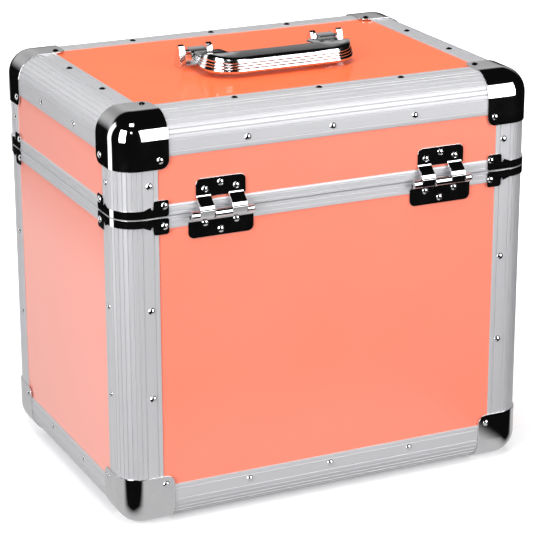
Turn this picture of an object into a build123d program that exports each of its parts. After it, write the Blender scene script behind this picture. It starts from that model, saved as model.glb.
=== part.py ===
"""Hard equipment case: laminated plywood panels in riveted aluminium edge profiles.

Millimetres, +Z up. The origin is the centre of the footprint, latches and hinges included.
The shapes are drawn about the middle of the box itself and moved to it at the end. The
latches are on the front (-Y), the hinges on the rear (+Y). Left and right are as seen from
the front.
The case is shown shut with its carrying handle folded to the rear and its latches sprung.
"""
import os
from math import cos, radians, sin

from build123d import *

# ---- driving dimensions -------------------------------------------------------------
WIDTH = 400.0            # over the aluminium profiles, along X
DEPTH = 290.0            # over the aluminium profiles, along Y
HEIGHT = 372.4           # over the aluminium profiles, along Z
BASE_HEIGHT = 284.0      # from the underside profile to the split between base and lid

SHEET = 1.2              # steel of the corner caps; it is also the height of the feet
PANEL = 6.5              # laminated plywood
LEG = 36.5               # visible width of an edge profile on each face
EDGE_R = 22.0            # outer radius of the rounded edges
SKIN = 1.0               # wall of the edge profiles
FLANGE = 1.2             # inner wall of the edge profiles
WEB = 21.7               # depth from the edge to the bottom of a panel slot
SLOT_GRIP = 30.0         # how far the inner wall reaches along the panel
SPLIT_GAP = 0.4          # between the base rim and the lid rim
CLEAR = 0.3              # between parts that only meet

BASE_RIM = 11.0          # height of the base rim profile on the outside
LID_RIM = 10.3           # height of the lid rim profile on the outside
RIM_INNER = 16.0         # height of both rim profiles on the inside
RIM_WEB = 6.0            # solid part of a rim profile

CAP_LEG = 46.5           # reach of a corner cap along each edge
CAP_CORNER_R = 8.0
CAP_RIVET = 38.5         # rivet position from both edges of a cap's face

RIVET_HEAD_R = 3.15
RIVET_HEAD_H = 1.5
RIVET_LOW_H = 0.9        # head height under the case, where it must not touch the ground
RIVET_SHANK_R = 1.6
RIVET_HOLE_R = 1.75
RIVET_LONG = 8.6         # from the outer surface to the tail
RIVET_INSET = 28.0       # rivet line of the edge profiles, from the edge

FOAM = 5.0               # wall lining
FLOOR_FOAM = 8.0
FOAM_CORNER_R = 12.0     # upright corners of the floor and ceiling pads

HINGE_X = 106.5          # both hinges and both latches, from the middle
PIN_OUT = 6.5            # hinge pin axis, out from the profile face
PIN_UP = -0.7            # hinge pin axis, from the split

LEVER_OPEN = 12.0        # how far the latch levers stand open, degrees
HOOK_LEAN = 0.35         # lean of the hook for each degree of the lever

# ---- derived positions --------------------------------------------------------------
FOOT = SHEET
HALF_W = WIDTH / 2
HALF_D = DEPTH / 2
BOTTOM = FOOT
TOP = FOOT + HEIGHT
SPLIT = FOOT + BASE_HEIGHT
BASE_TOP = SPLIT - SPLIT_GAP / 2
LID_BOTTOM = SPLIT + SPLIT_GAP / 2
PANEL_IN = SKIN + PANEL
LINING_IN = PANEL_IN + FLANGE + 0.2
RAIL_END = EDGE_R + 2.0
PANEL_TOP = TOP - SKIN   # outer surface of the lid's top panel

SIDES = (-1, 1)
CORNERS = [(sx, sy) for sx in SIDES for sy in SIDES]


def save_all(nodes):
    """Writes each node as one STEP file, with the origin in the middle of the footprint."""
    boxes = [solid.bounding_box() for solids in nodes.values() for solid in solids]
    middle_y = (min(b.min.Y for b in boxes) + max(b.max.Y for b in boxes)) / 2
    print("moved along Y by", round(-middle_y, 4))
    for node, solids in nodes.items():
        flat = [Pos(0, -middle_y, 0) * solid for item in solids for solid in item.solids()]
        shape = flat[0] if len(flat) == 1 else Compound(children=flat)
        export_step(shape, f"parts/{node}.step")


def box(x0, x1, y0, y1, z0, z1):
    """A box between two corners."""
    size = (x1 - x0, y1 - y0, z1 - z0)
    return Pos((x0 + x1) / 2, (y0 + y1) / 2, (z0 + z1) / 2) * Box(*size)


def along_x(points, x0, x1):
    """Extrudes an outline drawn in Y and Z from x0 to x1."""
    outline = Plane.YZ * make_face(Polyline(*points, close=True))
    return Pos(x0, 0, 0) * extrude(outline, x1 - x0)


def rod_x(radius, x0, x1, y, z):
    """A round bar along X."""
    return Pos((x0 + x1) / 2, y, z) * Rot(0, 90, 0) * Cylinder(radius, abs(x1 - x0))


# ---- rivets -------------------------------------------------------------------------
def rivet_shape(head_h):
    """A rivet with its head on Z = 0 and its shank pointing down; flush if head_h is 0."""
    shank = Pos(0, 0, -RIVET_LONG / 2) * Cylinder(RIVET_SHANK_R, RIVET_LONG)
    if head_h == 0:
        return shank
    ball_r = (RIVET_HEAD_R ** 2 + head_h ** 2) / (2 * head_h)
    dome = Pos(0, 0, head_h - ball_r) * Sphere(ball_r)
    return (dome & box(-5, 5, -5, 5, 0, 5)) + shank


DOMED, LOW, FLUSH = (rivet_shape(h) for h in (RIVET_HEAD_H, RIVET_LOW_H, 0))
RIVET_HOLE = Pos(0, 0, -RIVET_LONG / 2) * Cylinder(RIVET_HOLE_R, RIVET_LONG + 4)

FACING = {
    "front": Rot(90, 0, 0),
    "rear": Rot(-90, 0, 0),
    "left": Rot(0, -90, 0),
    "right": Rot(0, 90, 0),
    "up": Rot(0, 0, 0),
    "down": Rot(180, 0, 0),
}


def surface_point(face, across, height, proud):
    """A point on one of the case's faces. Across runs along X, or along Y on the ends."""
    return {
        "front": (across, -HALF_D - proud, height),
        "rear": (across, HALF_D + proud, height),
        "left": (-HALF_W - proud, across, height),
        "right": (HALF_W + proud, across, height),
        "up": (across, height, TOP + proud),
        "down": (across, height, BOTTOM - proud),
    }[face]


def rivet_for(face, proud):
    """The rivet that suits a spot: under the case it stays above the feet."""
    if face != "down":
        return DOMED
    return FLUSH if proud > 0 else LOW


def place_rivets(spots):
    """Rivets, and the holes that they need, at (face, across, height, proud) spots."""
    seats = [Pos(*surface_point(*spot)) * FACING[spot[0]] for spot in spots]
    rivets = [seat * rivet_for(spot[0], spot[3]) for seat, spot in zip(seats, spots)]
    holes = Compound(children=[seat * RIVET_HOLE for seat in seats])
    return rivets, holes


def leg_rivets(face_z):
    """The rivets in the long and short profiles round the top or the bottom."""
    spots = []
    for across in (-80.5, 0.0, 80.5):
        spots += [("front", across, face_z, 0.0), ("rear", across, face_z, 0.0)]
    for across in (-41.0, 41.0):
        spots += [("left", across, face_z, 0.0), ("right", across, face_z, 0.0)]
    return spots


def flat_leg_rivets(face):
    """The rivets in the profiles' legs on the top or the underside."""
    spots = []
    for across in (-80.5, 0.0, 80.5):
        for side in SIDES:
            spots.append((face, across, side * (HALF_D - RIVET_INSET), 0.0))
    for across in (-41.0, 41.0):
        for side in SIDES:
            spots.append((face, side * (HALF_W - RIVET_INSET), across, 0.0))
    return spots


def post_rivets(heights):
    """The rivets in the upright profiles."""
    spots = []
    for height in heights:
        for side in SIDES:
            for face in ("front", "rear"):
                spots.append((face, side * (HALF_W - RIVET_INSET - 0.5), height, 0.0))
            for face in ("left", "right"):
                spots.append((face, side * (HALF_D - RIVET_INSET - 0.5), height, 0.0))
    return spots


def cap_rivets(z_face, flat_face):
    """Three rivets in each corner cap."""
    spots = []
    for sx, sy in CORNERS:
        x, y = sx * (HALF_W - CAP_RIVET), sy * (HALF_D - CAP_RIVET)
        spots.append(("front" if sy < 0 else "rear", x, z_face, SHEET))
        spots.append(("left" if sx < 0 else "right", y, z_face, SHEET))
        spots.append((flat_face, x, y, SHEET))
    return spots


def brace_rivets(height):
    """Two rivets in each corner brace."""
    spots = []
    for sx, sy in CORNERS:
        spots.append(("front" if sy < 0 else "rear", sx * (HALF_W - 41.5), height, SHEET))
        spots.append(("left" if sx < 0 else "right", sy * (HALF_D - 41.5), height, SHEET))
    return spots


# ---- aluminium profiles -------------------------------------------------------------
RIB_GROOVES = 9
GROOVE_R = 0.6
GROOVE_SINK = 0.35       # depth of the fine grooves over the rounded edge
LIP_GROOVE = 4.3         # groove near the end of each leg


def edge_section():
    """Section of the edge profile with its outer corner at the origin, legs along +X, +Y."""
    inner_r = EDGE_R - SKIN
    turn = inner_r * (1 - cos(radians(45)))
    outer_turn = EDGE_R * (1 - cos(radians(45)))
    skin = make_face([
        Line((0, LEG - 1.2), (0, EDGE_R)),
        ThreePointArc((0, EDGE_R), (outer_turn, outer_turn), (EDGE_R, 0)),
        Polyline((EDGE_R, 0), (LEG - 1.2, 0), (LEG, 0.5), (LEG, SKIN), (EDGE_R, SKIN)),
        ThreePointArc((EDGE_R, SKIN), (SKIN + turn, SKIN + turn), (SKIN, EDGE_R)),
        Polyline((SKIN, EDGE_R), (SKIN, LEG), (0.5, LEG), (0, LEG - 1.2)),
    ])
    grip = PANEL_IN + FLANGE
    inner = make_face(Polyline(
        (PANEL_IN, PANEL_IN), (SLOT_GRIP, PANEL_IN), (SLOT_GRIP, grip), (grip, grip),
        (grip, SLOT_GRIP), (PANEL_IN, SLOT_GRIP), close=True,
    ))
    webs = make_face(Polyline(
        (SKIN / 2, WEB - FLANGE), (PANEL_IN, WEB - FLANGE), (PANEL_IN, WEB),
        (SKIN / 2, WEB), close=True,
    ))
    webs += mirror(webs, Plane((0, 0, 0), (0, 0, 1), (1, -1, 0)))
    section = skin + inner + webs
    for i in range(RIB_GROOVES):
        angle = radians(90 * i / (RIB_GROOVES - 1))
        reach = EDGE_R + GROOVE_R - GROOVE_SINK
        centre = (EDGE_R - reach * cos(angle), EDGE_R - reach * sin(angle))
        section -= Pos(*centre) * Circle(GROOVE_R)
    out = GROOVE_SINK - GROOVE_R
    for centre in ((out, LEG - LIP_GROOVE), (LEG - LIP_GROOVE, out)):
        section -= Pos(*centre) * Circle(GROOVE_R)
    return section


EDGE_SECTION = edge_section()


def upright_edge(sx, sy, z0, z1):
    """A vertical edge profile at the corner (sx, sy)."""
    profile = extrude(EDGE_SECTION, z1 - z0)
    if sx > 0:
        profile = mirror(profile, Plane.YZ)
    if sy > 0:
        profile = mirror(profile, Plane.XZ)
    return Pos(sx * HALF_W, sy * HALF_D, z0) * profile


def rail_along_x(sy, at_top):
    """A long horizontal edge profile on the front or the rear."""
    length = WIDTH - 2 * RAIL_END
    profile = Plane.YZ * EDGE_SECTION
    rail = Pos(-length / 2, 0, 0) * extrude(profile, length)
    if sy > 0:
        rail = mirror(rail, Plane.XZ)
    if at_top:
        rail = mirror(rail, Plane.XY)
    return Pos(0, sy * HALF_D, TOP if at_top else BOTTOM) * rail


def rail_along_y(sx, at_top):
    """A short horizontal edge profile on the left or the right, between the long ones."""
    length = DEPTH - 2 * LEG
    profile = Plane.XZ * EDGE_SECTION
    rail = Pos(0, length / 2, 0) * extrude(profile, length)
    if sx > 0:
        rail = mirror(rail, Plane.YZ)
    if at_top:
        rail = mirror(rail, Plane.XY)
    return Pos(sx * HALF_W, 0, TOP if at_top else BOTTOM) * rail


RIM_WIDTH = PANEL_IN + FLANGE
TONGUE = (3.2, 5.6)      # from and to, in from the outer face
TONGUE_DROP = 3.2        # how far the lid's tongue reaches below the split


def base_rim_points():
    """Section of the base rim: (in from the face, height from the split)."""
    gap = SPLIT_GAP / 2
    groove = (TONGUE[0] - CLEAR, TONGUE[1] + CLEAR)
    floor = -TONGUE_DROP - 0.8
    return [
        (0, -BASE_RIM), (0, -gap), (groove[0], -gap), (groove[0], floor), (groove[1], floor),
        (groove[1], -gap), (RIM_WIDTH, -gap), (RIM_WIDTH, -RIM_INNER), (PANEL_IN, -RIM_INNER),
        (PANEL_IN, -RIM_WEB), (SKIN, -RIM_WEB), (SKIN, -BASE_RIM),
    ]


def lid_rim_points():
    """Section of the lid rim, with the tongue that enters the base rim."""
    gap = SPLIT_GAP / 2
    return [
        (0, gap), (TONGUE[0], gap), (TONGUE[0] + 0.4, -TONGUE_DROP),
        (TONGUE[1] - 0.4, -TONGUE_DROP), (TONGUE[1], gap), (RIM_WIDTH, gap),
        (RIM_WIDTH, RIM_INNER), (PANEL_IN, RIM_INNER), (PANEL_IN, RIM_WEB), (SKIN, RIM_WEB),
        (SKIN, LID_RIM), (0.6, LID_RIM), (0, LID_RIM - 2.2),
    ]


def rim_along_x(points, sy):
    """A rim profile on the front or the rear, between the upright profiles."""
    half = HALF_W - LEG
    return along_x([(sy * (HALF_D - u), SPLIT + w) for u, w in points], -half, half)


def rim_along_y(points, sx):
    """A rim profile on the left or the right, between the upright profiles."""
    half = HALF_D - LEG
    outline = [(sx * (HALF_W - u), SPLIT + w) for u, w in points]
    face = Plane.XZ * make_face(Polyline(*outline, close=True))
    return Pos(0, half, 0) * extrude(face, 2 * half)


# ---- corner caps and braces ---------------------------------------------------------
def cap_shape():
    """A ball corner at the low X, Y, Z corner of the case, profile planes on 0."""
    big = 140.0
    outer = Box(big + 2 * SHEET, big + 2 * SHEET, big + 2 * SHEET)
    outer = fillet(outer.edges(), EDGE_R + SHEET)
    inner = Box(big, big, big)
    inner = fillet(inner.edges(), EDGE_R)
    shell = Pos(big / 2, big / 2, big / 2) * (outer - inner)
    cap = shell & box(-SHEET, CAP_LEG, -SHEET, CAP_LEG, -SHEET, CAP_LEG)
    square = Pos(CAP_LEG, CAP_LEG) * Rectangle(2 * CAP_CORNER_R, 2 * CAP_CORNER_R)
    spandrel = square - Pos(CAP_LEG - CAP_CORNER_R, CAP_LEG - CAP_CORNER_R) * Circle(CAP_CORNER_R)
    keep = Pos(CAP_LEG, CAP_LEG) * Rectangle(2 * CAP_CORNER_R, 2 * CAP_CORNER_R)
    spandrel = spandrel & keep
    trim = Pos(0, 0, -2 * SHEET) * extrude(spandrel, 4 * SHEET)
    corner_zone = box(CAP_LEG - CAP_CORNER_R, CAP_LEG, CAP_LEG - CAP_CORNER_R, CAP_LEG, -3, 3)
    trim = trim & corner_zone
    for cutter in (trim, Rot(90, 0, 0) * mirror(trim, Plane.XZ), Rot(0, -90, 0) * mirror(trim, Plane.YZ)):
        cap -= cutter
    return cap


def at_corner(shape, sx, sy, at_top, z_low, z_high):
    """Mirrors a low-corner shape to another corner of the case."""
    if sx > 0:
        shape = mirror(shape, Plane.YZ)
    if sy > 0:
        shape = mirror(shape, Plane.XZ)
    if at_top:
        shape = mirror(shape, Plane.XY)
    return Pos(sx * HALF_W, sy * HALF_D, z_high if at_top else z_low) * shape


EAR = (31.0, 45.4)       # brace ear, from and to along the face
EAR_HEIGHT = (0.6, 15.2)  # above the split
STRAP_HEIGHT = 7.0


def brace_shape():
    """A brace round the low X, Y upright edge, standing above Z = 0."""
    arc = radians(45)
    outer_r = EDGE_R + SHEET
    turn_out = EDGE_R - outer_r * cos(arc)
    turn_in = EDGE_R - EDGE_R * cos(arc)
    band = make_face([
        Line((-SHEET, EAR[1]), (-SHEET, EDGE_R)),
        ThreePointArc((-SHEET, EDGE_R), (turn_out, turn_out), (EDGE_R, -SHEET)),
        Polyline((EDGE_R, -SHEET), (EAR[1], -SHEET), (EAR[1], 0), (EDGE_R, 0)),
        ThreePointArc((EDGE_R, 0), (turn_in, turn_in), (0, EDGE_R)),
        Polyline((0, EDGE_R), (0, EAR[1]), (-SHEET, EAR[1])),
    ])
    z0, z1 = EAR_HEIGHT
    strap = Pos(0, 0, z0) * extrude(band, z1 - z0)
    window = box(-5, EAR[0], -5, EAR[0], z0 + STRAP_HEIGHT, z1 + 1)
    strap -= window
    ear = (EAR[0] + EAR[1]) / 2
    rounding = RectangleRounded(EAR[1] - EAR[0], z1 - z0, 2.5)
    keep = (Pos(ear, 0, (z0 + z1) / 2) * Rot(90, 0, 0) * extrude(rounding, 4, both=True)
            + Pos(0, ear, (z0 + z1) / 2) * Rot(90, 0, 90) * extrude(rounding, 4, both=True)
            + box(-5, ear, -5, ear, z0, z0 + STRAP_HEIGHT))
    return strap & keep


# ---- panels and lining --------------------------------------------------------------
def panels():
    """The laminated plywood panels of the base and the lid."""
    x, y = HALF_W, HALF_D
    in_x, in_y = HALF_W - WEB - CLEAR, HALF_D - WEB - CLEAR
    low, high = BOTTOM + WEB + CLEAR, SPLIT - RIM_WEB - 0.2
    lid_low, lid_high = SPLIT + RIM_WEB + 0.2, TOP - WEB - CLEAR
    made = {}
    for part, z0, z1 in (("base", low, high), ("lid", lid_low, lid_high)):
        made[f"{part}_front_panel"] = box(-in_x, in_x, -y + SKIN, -y + PANEL_IN, z0, z1)
        made[f"{part}_rear_panel"] = box(-in_x, in_x, y - PANEL_IN, y - SKIN, z0, z1)
        made[f"{part}_left_panel"] = box(-x + SKIN, -x + PANEL_IN, -in_y, in_y, z0, z1)
        made[f"{part}_right_panel"] = box(x - PANEL_IN, x - SKIN, -in_y, in_y, z0, z1)
    made["base_floor_panel"] = box(-in_x, in_x, -in_y, in_y, BOTTOM + SKIN, BOTTOM + PANEL_IN)
    made["lid_top_panel"] = box(-in_x, in_x, -in_y, in_y, TOP - PANEL_IN, TOP - SKIN)
    return made


def lining_walls(z0, z1):
    """Four foam strips round the inside."""
    x, y = HALF_W - LINING_IN, HALF_D - LINING_IN
    return [
        box(-x, x, -y, -y + FOAM, z0, z1),
        box(-x, x, y - FOAM, y, z0, z1),
        box(-x, -x + FOAM, -y + FOAM + CLEAR, y - FOAM - CLEAR, z0, z1),
        box(x - FOAM, x, -y + FOAM + CLEAR, y - FOAM - CLEAR, z0, z1),
    ]


def lining_pad(z0, z1):
    """A foam pad over the floor or the ceiling, rounded to clear the ball corners."""
    x, y = HALF_W - LINING_IN, HALF_D - LINING_IN
    pad = box(-x, x, -y, y, z0, z1)
    return fillet(pad.edges().filter_by(Axis.Z), FOAM_CORNER_R)


def lining():
    """Foam pads of the base and the lid."""
    floor, ceiling = BOTTOM + LINING_IN, TOP - LINING_IN
    return {
        "base_floor_pad": [lining_pad(floor, floor + FLOOR_FOAM)],
        "base_wall_padding": lining_walls(floor + FLOOR_FOAM + CLEAR, SPLIT - RIM_INNER / 2),
        "lid_top_pad": [lining_pad(ceiling - FLOOR_FOAM, ceiling)],
        "lid_wall_padding": lining_walls(SPLIT + RIM_INNER / 2, ceiling - FLOOR_FOAM - CLEAR),
    }


# ---- hinges -------------------------------------------------------------------------
PIN_R = 2.5
BARREL_R = 4.0
PIN_Y = HALF_D + PIN_OUT
PIN_Z = SPLIT + PIN_UP
LEAF_HALF = 30.5         # half width of the base leaf
LID_LEAF_HALF = 23.2
ARMS = ((9.3, 22.8), (-21.2, -7.2))         # the lid leaf's two arms along the pin
KNUCKLES = ((23.3, LEAF_HALF), (-6.7, 8.8))  # the base leaf's two knuckles along the pin
HINGE_RIVET = 14.6       # outer rivets, from the middle of the leaf
LEAF_SHEET = 0.5         # how far the leaves stand out from the profile face


def rear_outline(points, x0, x1):
    """Extrudes an outline of (out from the rear face, above the split) points along X."""
    return along_x([(HALF_D + n, SPLIT + w) for n, w in points], x0, x1)


def rear_plate(half, z_low, z_high, round_z):
    """A hinge plate on the rear panel with two rounded corners on the side of round_z."""
    plate = box(-half, half, HALF_D - SKIN, HALF_D + LEAF_SHEET, z_low, z_high)
    corners = plate.edges().filter_by(Axis.Y).filter_by_position(Axis.Z, round_z - 0.1, round_z + 0.1)
    return fillet(corners, 5.5)


def base_leaf():
    """The base leaf: riveted plate, slope and the two knuckles that hold the pin."""
    leaf = rear_plate(LEAF_HALF, SPLIT - 23, SPLIT - 12.2, SPLIT - 23)
    over_rim = [
        (0, -12.2), (LEAF_SHEET, -12.2), (LEAF_SHEET, -6.6), (3.6, -4.9), (2.9, -4.0),
        (LEAF_SHEET, -5.6), (0, -5.6),
    ]
    leaf += rear_outline(over_rim, -LEAF_HALF, LEAF_HALF)
    for x0, x1 in KNUCKLES:
        neck = [
            (2.9, -4.0), (3.6, -4.9), (PIN_OUT + 2.8, PIN_UP - 3.0), (PIN_OUT - 2.8, PIN_UP - 2.6),
        ]
        leaf += rear_outline(neck, x0, x1)
        leaf += rod_x(BARREL_R, x0, x1, PIN_Y, PIN_Z)
    return leaf - rod_x(PIN_R + 0.03, -LEAF_HALF - 1, LEAF_HALF + 1, PIN_Y, PIN_Z)


def lid_leaf():
    """The lid leaf: riveted plate and two arms that stand out over the rim to the pin."""
    leaf = rear_plate(LID_LEAF_HALF, SPLIT + 13, SPLIT + 29.5, SPLIT + 29.5)
    arm = [
        (-SKIN, 13.2), (LEAF_SHEET, 14.2), (6.4, 9.0), (8.4, 6.6), (PIN_OUT + 3.9, PIN_UP + 0.8),
        (PIN_OUT, PIN_UP - 1.5), (PIN_OUT - 3.2, PIN_UP + 2.0), (0.4, 6.5), (0.4, 11.6),
    ]
    for x0, x1 in ARMS:
        leaf += rear_outline(arm, x0, x1) + rod_x(BARREL_R, x0, x1, PIN_Y, PIN_Z)
    return leaf - rod_x(PIN_R + 0.05, -LEAF_HALF, LEAF_HALF, PIN_Y, PIN_Z)


def hinge_pin():
    """The pin, with a domed end that stands free of the last arm."""
    pin = rod_x(PIN_R, -LEAF_HALF + 4.5, LEAF_HALF - 0.5, PIN_Y, PIN_Z)
    head = rod_x(PIN_R + 0.7, -LEAF_HALF + 1.5, ARMS[1][0] - CLEAR, PIN_Y, PIN_Z)
    tip = head.edges().filter_by_position(Axis.X, -LEAF_HALF, -LEAF_HALF + 2)
    return pin + fillet(tip, 2.2)


def hinge_rivets(x):
    """Rivets of the base leaf and of the lid leaf."""
    lower = [("rear", x - HINGE_RIVET, SPLIT - 10.0, LEAF_SHEET),
             ("rear", x, SPLIT - 17.6, LEAF_SHEET),
             ("rear", x + HINGE_RIVET, SPLIT - 10.0, LEAF_SHEET)]
    upper = [("rear", x - HINGE_RIVET, SPLIT + 19.6, LEAF_SHEET),
             ("rear", x, SPLIT + 24.2, LEAF_SHEET),
             ("rear", x + HINGE_RIVET, SPLIT + 19.6, LEAF_SHEET)]
    return lower, upper


# ---- latches ------------------------------------------------------------------------
LEVER_OUT = 5.5          # lever pivot, out from the front face
LEVER_DOWN = -22.0       # lever pivot, from the split
LINK = (-1.0, -8.4)      # hook pivot from the lever pivot with the latch shut
LEVER_Y, LEVER_Z = -HALF_D - LEVER_OUT, SPLIT + LEVER_DOWN
CHEEK = (15.0, 16.5)
ARM = (12.6, 14.2)
PIVOT_R = 1.6
LINK_R = 1.3
HOOK_HALF = 9.5
KEEPER_HALF = 5.8


def front_outline(points, x0, x1):
    """Extrudes an outline of (out from the front face, above the split) points along X."""
    return along_x([(-HALF_D - n, SPLIT + w) for n, w in points], x0, x1)


def turned(shape, degrees, y, z):
    """Turns a shape about an X axis through (y, z); positive swings a hanging part out."""
    return Pos(0, y, z) * Rot(-degrees, 0, 0) * Pos(0, -y, -z) * shape


def front_plate(half, w0, w1, radius):
    """A rounded plate on the front panel."""
    plate = box(-half, half, -HALF_D - 0.5, -HALF_D + SKIN, SPLIT + w0, SPLIT + w1)
    return fillet(plate.edges().filter_by(Axis.Y), radius)


def latch_base():
    """The latch's base plate with two cheeks for the lever."""
    plate = front_plate(CHEEK[1] + 1.0, -51.0, -12.4, 3.5)
    cheek = [(0, -34), (0, -12.8), (1.6, -12.8), (LEVER_OUT, -18.2), (LEVER_OUT, -25.8)]
    for side in SIDES:
        x0, x1 = sorted((side * CHEEK[0], side * CHEEK[1]))
        plate += front_outline(cheek, x0, x1) + rod_x(3.8, x0, x1, LEVER_Y, LEVER_Z)
    return plate - rod_x(PIVOT_R + 0.03, -20, 20, LEVER_Y, LEVER_Z)


def pivot_pins():
    """Two headed stub pins through the cheeks and the lever's arms."""
    pins = []
    for side in SIDES:
        shank = rod_x(PIVOT_R, side * ARM[0], side * CHEEK[1], LEVER_Y, LEVER_Z)
        head = rod_x(2.7, side * CHEEK[1], side * (CHEEK[1] + 0.9), LEVER_Y, LEVER_Z)
        pins.append(shank + head)
    return pins


def lever():
    """The lever, drawn shut: two arms and the finger plate, turned to its sprung place."""
    body = None
    arm = [
        (2.2, -22.0), (2.2, -31.5), (5.2, -38.0), (8.0, -45.0), (9.4, -45.0), (9.4, -36.5),
        (8.9, -22.0),
    ]
    for side in SIDES:
        x0, x1 = sorted((side * ARM[0], side * ARM[1]))
        piece = front_outline(arm, x0, x1) + rod_x(3.4, x0, x1, LEVER_Y, LEVER_Z)
        body = piece if body is None else body + piece
    plate = [
        (7.9, -36.0), (9.4, -36.0), (9.4, -50.5), (10.2, -53.6), (12.4, -56.0), (11.4, -57.2),
        (8.7, -54.4), (7.9, -51.0),
    ]
    body += front_outline(plate, -ARM[1], ARM[1])
    body -= rod_x(PIVOT_R + 0.06, -20, 20, LEVER_Y, LEVER_Z)
    body -= rod_x(LINK_R + 0.03, -20, 20, LEVER_Y - LINK[0], LEVER_Z + LINK[1])
    return turned(body, LEVER_OPEN, LEVER_Y, LEVER_Z)


def link_position():
    """The hook pivot with the lever in its sprung place."""
    a = radians(LEVER_OPEN)
    out = LINK[0] * cos(a) - LINK[1] * sin(a)
    up = LINK[0] * sin(a) + LINK[1] * cos(a)
    return LEVER_Y - out, LEVER_Z + up


def link_pin():
    """The pin that carries the hook in the lever."""
    y, z = link_position()
    return rod_x(LINK_R, -ARM[1] - 0.5, ARM[1] + 0.5, y, z)


def hook():
    """The hook: a strap with a window whose top bar drops over the keeper's shelf."""
    pivot_n, pivot_w = LEVER_OUT + LINK[0], LEVER_DOWN + LINK[1]
    inner, outer = pivot_n - 2.5, pivot_n - 1.3
    strap = front_outline(
        [(inner, pivot_w), (inner, 14.0), (outer, 14.0), (outer, pivot_w)], -HOOK_HALF, HOOK_HALF)
    tops = strap.edges().filter_by(Axis.Y).filter_by_position(Axis.Z, SPLIT + 13.9, SPLIT + 14.1)
    strap = fillet(tops, 3.0)
    half = KEEPER_HALF + 0.8
    strap -= box(-half, half, -HALF_D - 10, -HALF_D, SPLIT - 2.0, SPLIT + 10.4)
    y0, z0 = LEVER_Y - LINK[0], LEVER_Z + LINK[1]
    strap += rod_x(2.5, -11.8, 11.8, y0, z0)
    strap -= rod_x(LINK_R + 0.06, -20, 20, y0, z0)
    y, z = link_position()
    moved = Pos(0, y - y0, z - z0) * strap
    return turned(moved, -LEVER_OPEN * HOOK_LEAN, y, z)


def keeper():
    """The keeper on the lid: riveted plate, joggle over the rim, and the shelf."""
    plate = front_plate(14.0, 12.8, 34.0, 3.5)
    shelf = [
        (-SKIN, 14.0), (0.5, 14.0), (0.5, 12.8), (1.7, 11.2), (1.7, 9.8), (4.6, 9.8),
        (5.0, 9.4), (5.0, 8.6), (4.8, 8.4), (0.3, 8.4), (0.3, 11.4), (-SKIN, 12.8),
    ]
    return plate + front_outline(shelf, -KEEPER_HALF, KEEPER_HALF)


def latch_rivets(x):
    """Rivets of the latch base and of the keeper."""
    lower = [("front", x + side * 10.5, SPLIT + w, 0.5) for side in SIDES for w in (-17.0, -46.0)]
    upper = [("front", x - 9.0, SPLIT + 18.5, 0.5), ("front", x + 9.0, SPLIT + 18.5, 0.5),
             ("front", x, SPLIT + 28.5, 0.5)]
    return lower, upper


# ---- carrying handle ----------------------------------------------------------------
BRACKET = (49.5, 82.0)   # inner and outer side of a bracket, from the middle
BRACKET_CHEEK = 5.5
BRACKET_DEPTH = 16.4
BRACKET_FLOOR = 3.4
BRACKET_HEIGHT = 21.0
PIVOT_Y = -4.2           # handle pivot
PIVOT_H = 13.5           # handle pivot above the top panel
TONGUE_SPAN = (56.2, 73.0)  # the part of each arm between the cheeks, from the middle
HANDLE_PIN_R = 2.4
GRIP = (32.6, 57.8)      # grip's rear and front faces, towards the rear of the case
HANDLE_HALF = 75.3       # half of the handle's outer width
GRIP_HEIGHT = (2.8, 20.0)  # above the top panel
PIVOT_Z = PANEL_TOP + PIVOT_H


def bracket(side):
    """A cast bracket: a floor plate and two cheeks, for the side -1 or 1."""
    x0, x1 = sorted((side * BRACKET[0], side * BRACKET[1]))
    half = BRACKET_DEPTH / 2
    body = box(x0, x1, PIVOT_Y - half, PIVOT_Y + half, PANEL_TOP, PANEL_TOP + BRACKET_FLOOR)
    shoulder = 4.2
    cheek = [
        (PIVOT_Y - half, PANEL_TOP), (PIVOT_Y + half, PANEL_TOP),
        (PIVOT_Y + shoulder, PANEL_TOP + BRACKET_HEIGHT - 4.0),
        (PIVOT_Y + shoulder - 1.4, PANEL_TOP + BRACKET_HEIGHT - 1.0),
        (PIVOT_Y, PANEL_TOP + BRACKET_HEIGHT),
        (PIVOT_Y - shoulder + 1.4, PANEL_TOP + BRACKET_HEIGHT - 1.0),
        (PIVOT_Y - shoulder, PANEL_TOP + BRACKET_HEIGHT - 4.0),
    ]
    for a, b in ((x0, x0 + BRACKET_CHEEK), (x1 - BRACKET_CHEEK, x1)):
        body += along_x(cheek, a, b)
    return body - rod_x(HANDLE_PIN_R + 0.03, x0 + 1.5, x1 - 1.5, PIVOT_Y, PIVOT_Z)


def handle_pins():
    """The two pins that the handle turns on."""
    pins = []
    for side in SIDES:
        x0, x1 = sorted((side * (BRACKET[0] + 1.6), side * (BRACKET[1] - 1.6)))
        pins.append(rod_x(HANDLE_PIN_R, x0, x1, PIVOT_Y, PIVOT_Z))
    return pins


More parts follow.
